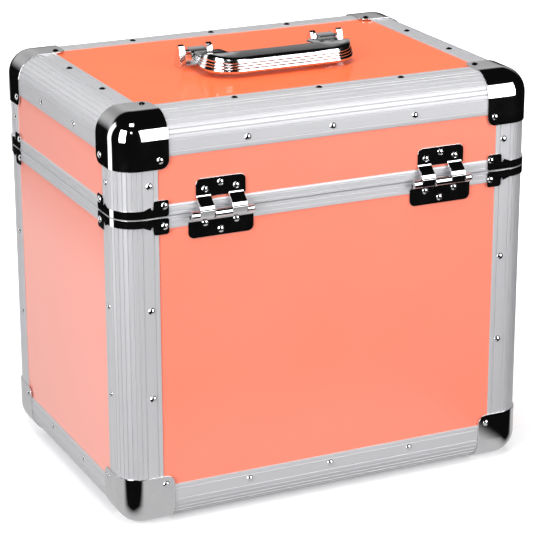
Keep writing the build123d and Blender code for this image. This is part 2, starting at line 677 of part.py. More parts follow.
def handle():
    """The cast handle: a deep grip with rounded corners and an arm at each end."""
    inner, outer = TONGUE_SPAN
    half = BRACKET_DEPTH / 2
    low, high = (PANEL_TOP + h for h in GRIP_HEIGHT)
    arm_front = PIVOT_Y + half + 1.5
    corner = 30.0
    outline = Polyline(
        (-outer, arm_front), (-HANDLE_HALF, GRIP[1] - corner), (-HANDLE_HALF, GRIP[1]),
        (HANDLE_HALF, GRIP[1]), (HANDLE_HALF, GRIP[1] - corner), (outer, arm_front), close=True)
    frame = extrude(Pos(0, 0, low) * make_face(outline), high - low)
    outside = frame.edges().filter_by(Axis.Z).filter_by_position(Axis.Y, GRIP[1] - 0.1, GRIP[1] + 0.1)
    frame = fillet(outside, corner - 0.5)
    reach = BRACKET[0] - 7.0
    finger_gap = box(-reach, reach, arm_front - 5, GRIP[0], low - 1, high + 1)
    gap_edges = finger_gap.edges().filter_by(Axis.Z).filter_by_position(Axis.Y, GRIP[0] - 0.1, GRIP[0] + 0.1)
    frame -= fillet(gap_edges, 7.0)
    side_view = [
        (arm_front, PIVOT_Z - 4.5), (GRIP[0] - 2.0, low + 2.2), (GRIP[0] + 6.0, low),
        (GRIP[1] - 3.0, low), (GRIP[1], low + 3.8), (GRIP[1] - 0.6, low + 14.3),
        (GRIP[1] - 3.2, high - 1.6), (GRIP[1] - 11.0, high), (GRIP[0] + 1.0, high - 1.2),
        (GRIP[0] - 6.0, PIVOT_Z + 3.4), (arm_front, PIVOT_Z + 3.2),
    ]
    frame = frame & along_x(side_view, -HANDLE_HALF - 1, HANDLE_HALF + 1)
    for side in SIDES:
        x0, x1 = sorted((side * inner, side * outer))
        tongue = [
            (PIVOT_Y, PIVOT_Z - 4.5), (PIVOT_Y, PIVOT_Z + 4.5), (arm_front + 1.0, PIVOT_Z + 3.2),
            (arm_front + 1.0, PIVOT_Z - 4.5),
        ]
        frame += along_x(tongue, x0, x1) + rod_x(4.5, x0, x1, PIVOT_Y, PIVOT_Z)
    return frame - rod_x(HANDLE_PIN_R + 0.06, -BRACKET[1], BRACKET[1], PIVOT_Y, PIVOT_Z)


def bracket_rivets():
    """Two rivets in the floor of each bracket."""
    middle = (BRACKET[0] + BRACKET[1]) / 2
    proud = BRACKET_FLOOR - SKIN
    return [("up", side * middle + dx, PIVOT_Y, proud) for side in SIDES for dx in (-5.5, 5.5)]


# ---- assembly -----------------------------------------------------------------------
def build():
    """Makes every node, drills the rivet holes and writes the files."""
    nodes = {name: [shape] for name, shape in panels().items()}
    for side, sy in (("front", -1), ("rear", 1)):
        nodes[f"base_bottom_rail_{side}"] = [rail_along_x(sy, False)]
        nodes[f"lid_top_rail_{side}"] = [rail_along_x(sy, True)]
        nodes[f"base_rim_{side}"] = [rim_along_x(base_rim_points(), sy)]
        nodes[f"lid_rim_{side}"] = [rim_along_x(lid_rim_points(), sy)]
    for side, sx in (("left", -1), ("right", 1)):
        nodes[f"base_bottom_rail_{side}"] = [rail_along_y(sx, False)]
        nodes[f"lid_top_rail_{side}"] = [rail_along_y(sx, True)]
        nodes[f"base_rim_{side}"] = [rim_along_y(base_rim_points(), sx)]
        nodes[f"lid_rim_{side}"] = [rim_along_y(lid_rim_points(), sx)]

    cap, brace = cap_shape(), brace_shape()
    nodes["base_corner_posts"] = [upright_edge(sx, sy, BOTTOM + LEG, BASE_TOP) for sx, sy in CORNERS]
    nodes["lid_corner_posts"] = [upright_edge(sx, sy, LID_BOTTOM, TOP - LEG) for sx, sy in CORNERS]
    nodes["base_corner_caps"] = [at_corner(cap, sx, sy, False, BOTTOM, TOP) for sx, sy in CORNERS]
    nodes["lid_corner_caps"] = [at_corner(cap, sx, sy, True, BOTTOM, TOP) for sx, sy in CORNERS]
    nodes["base_braces"] = [at_corner(brace, sx, sy, True, SPLIT, SPLIT) for sx, sy in CORNERS]
    nodes["lid_braces"] = [at_corner(brace, sx, sy, False, SPLIT, SPLIT) for sx, sy in CORNERS]

    base_spots = (leg_rivets(BOTTOM + RIVET_INSET) + flat_leg_rivets("down")
                  + post_rivets((BOTTOM + 120.3, BOTTOM + 201.0))
                  + cap_rivets(BOTTOM + CAP_RIVET, "down") + brace_rivets(SPLIT - 8.0))
    lid_spots = (leg_rivets(TOP - RIVET_INSET) + flat_leg_rivets("up")
                 + post_rivets((SPLIT + 28.0,))
                 + cap_rivets(TOP - CAP_RIVET, "up") + brace_rivets(SPLIT + 10.0)
                 + bracket_rivets())
    pins, latch_pins = [], []
    for side, sx in (("left", -1), ("right", 1)):
        at = Pos(sx * HINGE_X, 0, 0)
        for spots, fitting in zip((base_spots, lid_spots), hinge_rivets(sx * HINGE_X)):
            spots += fitting
        for spots, fitting in zip((base_spots, lid_spots), latch_rivets(sx * HINGE_X)):
            spots += fitting
        nodes[f"hinge_{side}_base_leaf"] = [at * base_leaf()]
        nodes[f"hinge_{side}_lid_leaf"] = [at * lid_leaf()]
        nodes[f"latch_{side}_base"] = [at * latch_base()]
        nodes[f"latch_{side}_keeper"] = [at * keeper()]
        nodes[f"latch_{side}_lever"] = [at * lever()]
        nodes[f"latch_{side}_hook"] = [at * hook()]
        nodes[f"latch_{side}_link_pin"] = [at * link_pin()]
        nodes[f"handle_{side}_bracket"] = [bracket(sx)]
        pins.append(at * hinge_pin())
        latch_pins += [at * pin for pin in pivot_pins()]
    nodes["hinge_pins"] = pins
    nodes["latch_pivot_pins"] = latch_pins
    nodes["handle_pivot_pins"] = handle_pins()
    nodes["handle"] = [handle()]

    base_rivets, base_holes = place_rivets(base_spots)
    lid_rivets, lid_holes = place_rivets(lid_spots)
    for name in nodes:
        moving = ("lever", "hook", "link_pin", "pins", "handle")
        if any(name.endswith(word) for word in moving):
            continue
        on_lid = name.startswith("lid") or name.endswith(("lid_leaf", "keeper", "bracket"))
        holes = lid_holes if on_lid else base_holes
        nodes[name] = [shape - holes for shape in nodes[name]]
    nodes["base_rivets"] = base_rivets
    nodes["lid_rivets"] = lid_rivets
    nodes.update(lining())
    return nodes


os.makedirs("parts", exist_ok=True)
save_all(build())
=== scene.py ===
"""Looks of the hard equipment case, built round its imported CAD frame.

Metres, in the row frame: +Z up, +Y towards the hinges, +X to the right as seen from the
front. Small sizes are written as a number times MM.
"""
from math import cos, pi, radians, sin

import bmesh
import bpy
from mathutils import Matrix, Vector


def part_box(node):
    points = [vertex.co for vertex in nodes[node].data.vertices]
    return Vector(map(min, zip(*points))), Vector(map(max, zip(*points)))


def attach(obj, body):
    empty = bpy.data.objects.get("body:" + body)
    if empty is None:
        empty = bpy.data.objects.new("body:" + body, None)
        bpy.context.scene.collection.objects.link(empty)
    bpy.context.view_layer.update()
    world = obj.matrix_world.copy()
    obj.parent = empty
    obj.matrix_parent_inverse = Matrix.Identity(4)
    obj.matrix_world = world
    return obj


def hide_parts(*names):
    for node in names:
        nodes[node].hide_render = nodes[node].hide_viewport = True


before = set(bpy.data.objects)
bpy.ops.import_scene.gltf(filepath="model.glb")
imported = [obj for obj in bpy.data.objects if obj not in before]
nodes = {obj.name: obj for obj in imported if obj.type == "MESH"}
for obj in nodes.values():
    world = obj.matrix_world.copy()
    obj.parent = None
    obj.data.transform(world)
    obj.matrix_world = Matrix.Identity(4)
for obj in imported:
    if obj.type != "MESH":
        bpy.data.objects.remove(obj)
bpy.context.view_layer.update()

MM = 0.001

# ---- sizes of the sheet metal and the profiles --------------------------------------
SKIN = 1.0 * MM          # wall of the profiles
PANEL_IN = 7.5 * MM      # inner side of a panel, from the outer face
FLANGE = 1.2 * MM
LEG = 36.5 * MM          # visible width of an edge profile on each face
EDGE_R = 22.0 * MM
WEB = 21.7 * MM
SLOT_GRIP = 30.0 * MM
LIP_GROOVE = 4.3 * MM
RIB_GROOVES = 9          # fine grooves over the rounded edge
GROOVE_HALF = 0.62 * MM
GROOVE_DEPTH = 0.60 * MM
SHEET = 1.2 * MM         # steel of the caps and braces
CAP_LEG = 46.5 * MM
CAP_CORNER_R = 8.0 * MM
EAR = (31.0 * MM, 45.4 * MM)
EAR_HEIGHT = (0.6 * MM, 15.2 * MM)
STRAP_HEIGHT = 7.0 * MM
BRACE_CORNER_R = 2.5 * MM
RIM_GROOVES = (3.1 * MM, 7.4 * MM)  # from the split
RIVET_LENGTH = 8.6 * MM  # shank below the surface
RIVET_SHANK_R = 1.6 * MM
FOAM_GAP = 0.3 * MM      # between the foam and the space that holds it
FOAM_CELL = 9 * MM       # mesh spacing over the foam
FOAM_RIPPLE = 0.25 * MM

# ---- the box itself, read from the frame --------------------------------------------
RIGHT_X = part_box("base_bottom_rail_right")[1].x
REAR_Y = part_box("base_bottom_rail_rear")[1].y
FRONT_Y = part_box("base_bottom_rail_front")[0].y
BOTTOM_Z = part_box("base_bottom_rail_front")[0].z
TOP_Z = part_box("lid_top_rail_front")[1].z
BASE_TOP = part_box("base_corner_posts")[1].z
LID_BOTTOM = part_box("lid_corner_posts")[0].z
SPLIT_Z = (BASE_TOP + LID_BOTTOM) / 2
MIDDLE = Vector((0, (FRONT_Y + REAR_Y) / 2, (BOTTOM_Z + TOP_Z) / 2))
CORNERS = [(sx, sy) for sx in (-1, 1) for sy in (-1, 1)]


# ---- the room, as brightness where white is 1 ---------------------------------------
WHITE = (1, 1, 1, 1)
DARK = 0.004
BACKDROP = 0.50
BANNER = 1.6             # an upright white banner beside the case
MIRRORED_FLOOR = 0.55
BANNER_AZIMUTH = (113, 142)
BANNER_EDGE = 4          # its soft edge, degrees
FLOOR_RADIUS = 4.0


# ---- node materials -----------------------------------------------------------------
class Tree:
    """A short way to write a node tree."""

    def __init__(self, tree):
        self.tree = tree

    def add(self, kind, inputs=(), **settings):
        """Adds a node, sets its properties, and links or sets its inputs."""
        node = self.tree.nodes.new(kind)
        for key, value in settings.items():
            setattr(node, key, value)
        for socket, value in dict(inputs).items():
            if isinstance(value, bpy.types.NodeSocket):
                self.tree.links.new(value, node.inputs[socket])
            else:
                node.inputs[socket].default_value = value
        return node

    def math(self, operation, a, b=0.0):
        """The result of one Math node."""
        return self.add("ShaderNodeMath", {0: a, 1: b}, operation=operation).outputs[0]

    def product(self, *factors):
        """The product of several numbers."""
        result = factors[0]
        for factor in factors[1:]:
            result = self.math("MULTIPLY", result, factor)
        return result

    def step(self, value, low, high):
        """A soft step from 0 at low to 1 at high; low may also be the larger of the two."""
        inputs = {"Value": value, "From Min": low, "From Max": high}
        return self.add("ShaderNodeMapRange", inputs, interpolation_type="SMOOTHSTEP").outputs[0]

    def band(self, turn):
        """1 inside the banner's range of azimuths, and 0 outside it."""
        low, high = BANNER_AZIMUTH
        rise = self.step(turn, radians(low), radians(low + BANNER_EDGE))
        fall = self.step(turn, radians(high), radians(high - BANNER_EDGE))
        return self.product(rise, fall)


class Nodes(Tree):
    """The node tree of a new material."""

    def __init__(self, name):
        self.material = bpy.data.materials.new(name)
        self.material.use_nodes = True
        super().__init__(self.material.node_tree)
        self.shader = self.tree.nodes["Principled BSDF"]

    def place(self, scale):
        """Object coordinates, stretched by a scale on each axis."""
        coords = self.add("ShaderNodeTexCoord").outputs["Object"]
        return self.add("ShaderNodeMapping", {"Vector": coords, "Scale": scale}).outputs[0]

    def noise(self, vector, scale, detail=3.0, rough=0.5):
        """Noise from 0 to 1."""
        inputs = {"Vector": vector, "Scale": scale, "Detail": detail, "Roughness": rough}
        return self.add("ShaderNodeTexNoise", inputs).outputs["Fac"]

    def spread(self, value, low, high, to_low=0.0, to_high=1.0):
        """Stretches the span from low to high over to_low to to_high."""
        inputs = {"Value": value, "From Min": low, "From Max": high,
                  "To Min": to_low, "To Max": to_high}
        return self.add("ShaderNodeMapRange", inputs).outputs[0]

    def mix(self, factor, a, b):
        """Mixes two colours."""
        node = self.add("ShaderNodeMix", data_type="RGBA")
        for index, value in ((0, factor), (6, a), (7, b)):
            if isinstance(value, bpy.types.NodeSocket):
                self.tree.links.new(value, node.inputs[index])
            else:
                node.inputs[index].default_value = value
        return node.outputs[2]

    def bump(self, height, strength, distance, below=None):
        """Turns a height into a normal, on top of another bump."""
        inputs = {"Height": height, "Strength": strength, "Distance": distance}
        if below is not None:
            inputs["Normal"] = below
        return self.add("ShaderNodeBump", inputs).outputs[0]

    def set(self, **values):
        """Links or sets the shader's sockets; an underscore stands for a space."""
        for key, value in values.items():
            socket = self.shader.inputs[key.replace("_", " ")]
            if isinstance(value, bpy.types.NodeSocket):
                self.tree.links.new(value, socket)
            else:
                socket.default_value = value
        return self.material


def laminate(name, light, deep, coat, haze):
    """Glossy coral laminate: a faint orange peel, polishing swirls and small specks."""
    n = Nodes(name)
    even = n.place((1, 1, 1))
    cloud = n.noise(even, 9.0, 2.0)
    specks = n.spread(n.noise(even, 900.0, 1.0), 0.70, 0.78)
    colour = n.mix(n.spread(cloud, 0.3, 0.7), (*deep, 1), (*light, 1))
    colour = n.mix(n.spread(specks, 0.0, 1.0, 0.0, 0.10), colour, (0.80, 0.12, 0.05, 1))
    swirls = n.noise(n.place((1, 5, 1)), 120.0, 4.0, 0.7)
    rough = n.spread(swirls, 0.35, 0.75, 0.38, 0.46)
    peel = n.bump(n.noise(even, 260.0, 1.0), 0.05, 0.05 * MM)
    return n.set(Base_Color=colour, Roughness=rough, Normal=peel, Coat_Weight=coat,
                 Coat_Roughness=0.03, Coat_IOR=1.5, IOR=1.5, Specular_IOR_Level=0.5 * coat,
                 Sheen_Weight=haze, Sheen_Roughness=0.5)


def aluminium(name, stretch):
    """Satin anodised aluminium with fine drawing lines along the profile."""
    n = Nodes(name)
    lines = n.noise(n.place(stretch), 900.0, 3.0, 0.65)
    broad = n.noise(n.place((1, 1, 1)), 14.0, 3.0)
    tone = n.spread(lines, 0.3, 0.7)
    colour = n.mix(tone, (0.53, 0.53, 0.548, 1), (0.555, 0.555, 0.573, 1))
    colour = n.mix(n.spread(broad, 0.35, 0.65, 0.0, 0.35), colour, (0.55, 0.55, 0.575, 1))
    nicks = n.spread(n.noise(n.place((1, 1, 1)), 420.0, 2.0), 0.72, 0.80)
    colour = n.mix(n.spread(nicks, 0, 1, 0, 0.25), colour, (0.45, 0.45, 0.47, 1))
    rough = n.spread(lines, 0.25, 0.75, 0.34, 0.44)
    normal = n.bump(lines, 0.06, 0.08 * MM)
    return n.set(Base_Color=colour, Roughness=rough, Normal=normal, Metallic=0.30)


def chrome(name, low, high):
    """Polished plating: hairline scratches, faint smudges and a slight waviness."""
    n = Nodes(name)
    smudge = n.noise(n.place((1, 1, 1)), 60.0, 4.0, 0.6)
    hairs = n.spread(n.noise(n.place((1, 9, 2)), 420.0, 3.0, 0.6), 0.60, 0.72)
    rough = n.spread(smudge, 0.35, 0.7, low, high)
    tint = n.mix(n.spread(smudge, 0.3, 0.7), (0.80, 0.80, 0.82, 1), (0.87, 0.87, 0.88, 1))
    wave = n.bump(n.noise(n.place((1, 1, 1)), 45.0, 1.0), 0.10, 0.12 * MM)
    normal = n.bump(hairs, 0.05, 0.02 * MM, wave)
    return n.set(Base_Color=tint, Roughness=rough, Normal=normal, Metallic=1.0)


def foam():
    """Dark open-cell foam."""
    n = Nodes("dark_foam")
    even = n.place((1, 1, 1))
    cells = n.add("ShaderNodeTexVoronoi", {"Vector": even, "Scale": 1400.0}).outputs["Distance"]
    cloud = n.noise(even, 60.0, 4.0, 0.6)
    # Darker in the middle of each cell, where the bump below sinks in: painted shade in the pits.
    colour = n.mix(n.spread(cells, 0.0, 0.6), (0.012, 0.012, 0.014, 1), (0.05, 0.05, 0.056, 1))
    colour = n.mix(n.spread(cloud, 0.3, 0.7, 0, 0.4), colour, (0.03, 0.03, 0.034, 1))
    normal = n.bump(cells, 0.6, 0.4 * MM)
    return n.set(Base_Color=colour, Roughness=0.95, Normal=normal, Sheen_Weight=0.2)


# Two copies of one laminate, coloured apart for how light falls on them. The paler copy on the
# sides carries painted haze, a whitish veil of reflected light put into its colour; the deeper copy
# on the top has none.
LAMINATE_SIDES_PAINTED_HAZE = laminate("coral_sides_painted_haze", (0.96, 0.218, 0.128), (0.95, 0.208, 0.121), 1.0, 0.66)
LAMINATE_TOP_COPY = laminate("coral_top_copy", (0.97, 0.182, 0.066), (0.95, 0.169, 0.060), 0.30, 0.0)
ALU_X = aluminium("drawn_aluminium_x", (0.012, 1, 1))
ALU_Y = aluminium("drawn_aluminium_y", (1, 0.012, 1))
ALU_Z = aluminium("drawn_aluminium_z", (1, 1, 0.012))
CHROME = chrome("polished_chrome", 0.025, 0.07)
CAST_CHROME = chrome("cast_chrome", 0.10, 0.17)
RIVET_STEEL = chrome("rivet_chrome", 0.05, 0.11)
FOAM = foam()


# ---- mesh helpers -------------------------------------------------------------------
def axes(u, v, w, origin=(0, 0, 0)):
    """A placement whose three directions are the vectors u, v and w."""
    place = Matrix([Vector(u), Vector(v), Vector(w)]).transposed().to_4x4()
    place.translation = Vector(origin)
    return place


ALONG_X = axes((0, 1, 0), (0, 0, 1), (1, 0, 0))


def add_prism(bm, outline, place, w0, w1):
    """A closed prism over the points (u, v), from w0 to w1 along the third direction."""
    low, high = ([bm.verts.new(place @ Vector((u, v, w))) for u, v in outline] for w in (w0, w1))
    bm.faces.new(low[::-1])
    bm.faces.new(high)
    for i in range(len(low)):
        j = (i + 1) % len(low)
        bm.faces.new((low[i], low[j], high[j], high[i]))


def add_grid(bm, rows):
    """Joins rows of points with quads."""
    made = [[bm.verts.new(p) for p in row] for row in rows]
    for lower, upper in zip(made, made[1:]):
        for i in range(len(lower) - 1):
            bm.faces.new((lower[i], lower[i + 1], upper[i + 1], upper[i]))


def add_turned(bm, profile, place, steps=32):
    """A solid of revolution about w from (radius, w) points that start and end on the axis."""
    rings = []
    for radius, w in profile[1:-1]:
        turn = [(radius * cos(2 * pi * k / steps), radius * sin(2 * pi * k / steps), w)
                for k in range(steps)]
        rings.append([bm.verts.new(place @ Vector(p)) for p in turn])
    ends = [bm.verts.new(place @ Vector((0, 0, profile[i][1]))) for i in (0, -1)]
    for k in range(steps):
        j = (k + 1) % steps
        bm.faces.new((ends[0], rings[0][j], rings[0][k]))
        bm.faces.new((ends[1], rings[-1][k], rings[-1][j]))
        for inner, outer in zip(rings, rings[1:]):
            bm.faces.new((inner[k], inner[j], outer[j], outer[k]))


def piece_from(bm, name, body, material, stands_for, sharp=30.0):
    """Makes a smooth-shaded piece that rides on a body and stands for CAD nodes."""
    bmesh.ops.remove_doubles(bm, verts=bm.verts, dist=0.001 * MM)
    bmesh.ops.recalc_face_normals(bm, faces=bm.faces)
    mesh = bpy.data.meshes.new(name)
    bm.to_mesh(mesh)
    bm.free()
    mesh.materials.append(material)
    mesh.shade_smooth()
    mesh.set_sharp_from_angle(angle=radians(sharp))
    piece = bpy.data.objects.new(name, mesh)
    bpy.context.scene.collection.objects.link(piece)
    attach(piece, body)
    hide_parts(*stands_for)
    return piece


def soften(piece, width, segments=2, angle=32.0):
    """Rounds the sharp edges and keeps the flat faces flat."""
    bevel = piece.modifiers.new("edges", "BEVEL")
    bevel.width = width
    bevel.segments = segments
    bevel.limit_method = "ANGLE"
    bevel.angle_limit = radians(angle)
    bevel.use_clamp_overlap = True
    bevel.harden_normals = True
    return bevel


# ---- aluminium profiles -------------------------------------------------------------
def groove(centre):
    """Offsets and depths across one fine groove."""
    steps = [(-1, 0), (-0.6, 0.72), (0, 1), (0.6, 0.72), (1, 0)]
    return [(centre + s * GROOVE_HALF, d * GROOVE_DEPTH) for s, d in steps]


def leg_outline():
    """One leg of the edge profile from its lip to the rounded edge: (depth, from corner)."""
    lip = [(SKIN, LEG), (0.45 * MM, LEG), (0.12 * MM, LEG - 0.35 * MM), (0, LEG - 1.0 * MM)]
    fine = [(depth, at) for at, depth in reversed(groove(LEG - LIP_GROOVE))]
    start = [(depth, at) for at, depth in reversed(groove(EDGE_R))]
    return lip + fine + start[:3]


def arc_outline():
    """The grooved quarter circle between the two legs."""
    length = EDGE_R * pi / 2
    points = []
    for i in range(RIB_GROOVES):
        points += groove(length * i / (RIB_GROOVES - 1))
        if i < RIB_GROOVES - 1:
            step = length / (RIB_GROOVES - 1)
            points += [(length * i / (RIB_GROOVES - 1) + step * f, 0) for f in (0.35, 0.5, 0.65)]
    made = []
    for at, depth in points[3:-3]:
        angle, radius = at / EDGE_R, EDGE_R - depth
        made.append((EDGE_R - radius * cos(angle), EDGE_R - radius * sin(angle)))
    return made


def inner_arc_outline(radius, steps=16):
    """The smooth inner side of the rounded edge."""
    turns = [pi / 2 * i / steps for i in range(steps, -1, -1)]
    return [(EDGE_R - radius * cos(a), EDGE_R - radius * sin(a)) for a in turns]


def edge_profile_outlines():
    """Skin, inner wall and webs of the edge profile, with the outer corner at the origin."""
    leg = leg_outline()
    other_leg = [(at, depth) for depth, at in reversed(leg)]
    skin = leg + arc_outline() + other_leg + inner_arc_outline(EDGE_R - SKIN)
    wall = PANEL_IN + FLANGE
    inner = [(PANEL_IN, PANEL_IN), (SLOT_GRIP, PANEL_IN), (SLOT_GRIP, wall), (wall, wall),
             (wall, SLOT_GRIP), (PANEL_IN, SLOT_GRIP)]
    web = [(SKIN, WEB - FLANGE), (PANEL_IN, WEB - FLANGE), (PANEL_IN, WEB), (SKIN, WEB)]
    return [skin, inner, web, [(v, u) for u, v in web]]


EDGE_PROFILE = edge_profile_outlines()


def corner_place(along, corner):
    """A placement on an edge of the case: u and v point inwards, w runs along the edge."""
    across = [axis for axis in range(3) if axis != along]
    directions = []
    for axis in across:
        direction = Vector((0, 0, 0))
        direction[axis] = 1 if corner[axis] < MIDDLE[axis] else -1
        directions.append(direction)
    run = Vector((0, 0, 0))
    run[along] = 1
    origin = Vector(corner)
    origin[along] = 0
    return axes(*directions, run, origin)


def add_edge_profile(bm, along, corner, start, end):
    """An edge profile along an axis, on the edge of the case through corner."""
    place = corner_place(along, corner)
    for outline in EDGE_PROFILE:
        add_prism(bm, outline, place, start, end)


def outer_corner(lo, hi):
    """The corner of a box that is farthest from the middle of the case."""
    return Vector([lo[k] if lo[k] + hi[k] < 2 * MIDDLE[k] else hi[k] for k in range(3)])


def build_rails():
    """The horizontal edge profiles of the base and the lid."""
    for part, level in (("base", "bottom"), ("lid", "top")):
        for side in ("front", "rear", "left", "right"):
            node = f"{part}_{level}_rail_{side}"
            lo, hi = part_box(node)
            along = 0 if side in ("front", "rear") else 1
            bm = bmesh.new()
            add_edge_profile(bm, along, outer_corner(lo, hi), lo[along], hi[along])
            material = ALU_X if along == 0 else ALU_Y
            piece_from(bm, f"{node}_fluted", part, material, [node])


def build_posts():
    """The upright edge profiles of the base and the lid."""
    for part in ("base", "lid"):
        node = f"{part}_corner_posts"
        lo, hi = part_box(node)
        bm = bmesh.new()
        for sx, sy in CORNERS:
            corner = (sx * RIGHT_X, REAR_Y if sy > 0 else FRONT_Y, 0)
            add_edge_profile(bm, 2, corner, lo.z, hi.z)
        piece_from(bm, f"{node}_fluted", part, ALU_Z, [node])


def rim_outlines():
    """Sections of the two rims: (in from the face, above the split)."""
    face = []
    for centre in RIM_GROOVES:
        face += [(depth, at) for at, depth in groove(centre)]
    gap = (LID_BOTTOM - BASE_TOP) / 2
    wall = PANEL_IN + FLANGE
    base = [
        (SKIN, -11.0 * MM), (0.35 * MM, -11.0 * MM), (0, -10.6 * MM),
        *[(u, -v) for u, v in reversed(face)],
        (0, -gap - 0.5 * MM), (0.8 * MM, -gap), (2.9 * MM, -gap), (2.9 * MM, -4.0 * MM),
        (5.9 * MM, -4.0 * MM), (5.9 * MM, -gap), (wall - 0.3 * MM, -gap), (wall, -gap - 0.3 * MM),
        (wall, -16 * MM), (PANEL_IN, -16 * MM), (PANEL_IN, -6 * MM), (SKIN, -6 * MM),
    ]
    lid = [
        (SKIN, 10.3 * MM), (0.7 * MM, 10.3 * MM), (0.35 * MM, 9.9 * MM), (0, 8.7 * MM),
        *reversed(face),
        (0, gap + 0.5 * MM), (0.8 * MM, gap), (3.2 * MM, gap), (3.6 * MM, -3.2 * MM),
        (5.2 * MM, -3.2 * MM), (5.6 * MM, gap), (wall - 0.3 * MM, gap), (wall, gap + 0.3 * MM),
        (wall, 16 * MM), (PANEL_IN, 16 * MM), (PANEL_IN, 6 * MM), (SKIN, 6 * MM),
    ]
    return {"base": base, "lid": lid}


def build_rims():
    """The rim profiles on both sides of the split."""
    for part, outline in rim_outlines().items():
        for side in ("front", "rear", "left", "right"):
            node = f"{part}_rim_{side}"
            lo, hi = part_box(node)
            along = 0 if side in ("front", "rear") else 1
            corner = outer_corner(lo, hi)
            inward, run = Vector((0, 0, 0)), Vector((0, 0, 0))
            inward[1 - along] = 1 if corner[1 - along] < MIDDLE[1 - along] else -1
            run[along] = 1
            origin = Vector((0, 0, SPLIT_Z))
            origin[1 - along] = corner[1 - along]
            bm = bmesh.new()
            add_prism(bm, outline, axes(inward, (0, 0, 1), run, origin), lo[along], hi[along])
            material = ALU_X if along == 0 else ALU_Y
            piece_from(bm, f"{node}_profile", part, material, [node])


# ---- corner caps --------------------------------------------------------------------
def rounded_point(p, radius):
    """Moves a point of a sharp box corner, at the origin, onto the rounded one."""
    core = Vector([max(x, radius) for x in p])
    away = Vector(p) - core
    return core + away.normalized() * radius if away.length > 0 else core


def cap_grid_steps():
    """Grid lines across a cap's face, from the corner to the end of the leg."""
    outer_r = EDGE_R + SHEET
    arc_steps, flat_steps = 12, 3
    lines = [outer_r * (1 - tan_like(i / arc_steps)) for i in range(arc_steps, 0, -1)]
    flat_end = CAP_LEG + SHEET - CAP_CORNER_R
    lines += [outer_r + (flat_end - outer_r) * i / flat_steps for i in range(flat_steps + 1)]
    return lines, [flat_end + CAP_CORNER_R * i / 8 for i in range(1, 9)]


def tan_like(share):
    """Even angles round a ball become these places on the box's face."""
    angle = share * pi / 4
    return sin(angle) / cos(angle)


def cap_point(a, b, flat_end):
    """A point on a cap's face with its outer corner rounded."""
    u, v = (a - flat_end) / CAP_CORNER_R, (b - flat_end) / CAP_CORNER_R
    if u > 0 and v > 0:
        reach, turn = (u, pi / 4 * v / u) if u >= v else (v, pi / 2 - pi / 4 * u / v)
        r = CAP_CORNER_R * reach
        return flat_end + r * cos(turn), flat_end + r * sin(turn)
    return a, b


def add_cap(bm, place):
    """A ball corner's outer surface: three legs that meet in an eighth of a ball."""
    inside, rim = cap_grid_steps()
    lines = inside + rim
    flat_end = inside[-1]
    radius = EDGE_R + SHEET
    for axis in range(3):
        rows = []
        for a in lines:
            row = []
            for b in lines:
                u, v = cap_point(a, b, flat_end)
                p = Vector(((0, u, v), (u, 0, v), (u, v, 0))[axis])
                row.append(place @ rounded_point(p, radius))
            rows.append(row)
        add_grid(bm, rows)


def thicken(piece, thickness):
    """Gives a surface the thickness of its sheet, inwards, with softened edges."""
    solid = piece.modifiers.new("sheet", "SOLIDIFY")
    solid.thickness = thickness
    solid.offset = -1
    solid.use_even_offset = True
    soften(piece, 0.32 * MM, 2, 50)


def build_caps():
    """The eight ball corners."""
    for part, outer_z, up in (("base", BOTTOM_Z - SHEET, 1), ("lid", TOP_Z + SHEET, -1)):
        bm = bmesh.new()
        for sx, sy in CORNERS:
            outer_y = (REAR_Y + SHEET) if sy > 0 else (FRONT_Y - SHEET)
            origin = (sx * (RIGHT_X + SHEET), outer_y, outer_z)
            add_cap(bm, axes((-sx, 0, 0), (0, -sy, 0), (0, 0, up), origin))
        node = f"{part}_corner_caps"
        piece = piece_from(bm, f"{node}_pressed", part, CHROME, [node], 60)
        face_outwards(piece)
        thicken(piece, SHEET)


def face_outwards(piece):
    """Turns every face of an open shell away from the middle of the case."""
    bm = bmesh.new()
    bm.from_mesh(piece.data)
    turned = [f for f in bm.faces if f.normal.dot(f.calc_center_median() - MIDDLE) < 0]
    bmesh.ops.reverse_faces(bm, faces=turned)
    bm.to_mesh(piece.data)
    bm.free()


# ---- braces at the split ------------------------------------------------------------
def brace_reach(s, end, strap_end, ear_top, strap_top):
    """Lowest and highest point of a brace at a distance s along it from its middle."""
    r = BRACE_CORNER_R
    low, high = EAR_HEIGHT[0], ear_top
    if s > end - r:
        drop = r - max(r * r - (s - (end - r)) ** 2, 0) ** 0.5
        return low + drop, high - drop
    if s < strap_end - r:
        return low, strap_top
    if s < strap_end:
        rise = max(r * r - (strap_end - s) ** 2, 0) ** 0.5
        return low, strap_top + r - rise if s < strap_end - 0.01 * MM else strap_top
    if s < strap_end + r:
        drop = r - max(r * r - (strap_end + r - s) ** 2, 0) ** 0.5
        return low, high - drop
    return low, high


def brace_stations():
    """Distances along half a brace, from the middle of the rounded edge to the ear's end."""
    arc = EDGE_R * pi / 4
    ear_start = arc + EAR[0] - EDGE_R
    ear_end = arc + EAR[1] - EDGE_R
    r = BRACE_CORNER_R
    stations = [arc * i / 12 for i in range(13)]
    stations += [ear_start - r * f for f in (1.0, 0.6, 0.3, 0.1)]
    stations += [ear_start + r * f for f in (0.0, 0.08, 0.25, 0.5, 1.0)]
    stations += [ear_end - r * f for f in (1.0, 0.6, 0.35, 0.15, 0.04, 0.0)]
    return arc, ear_start, ear_end, stations


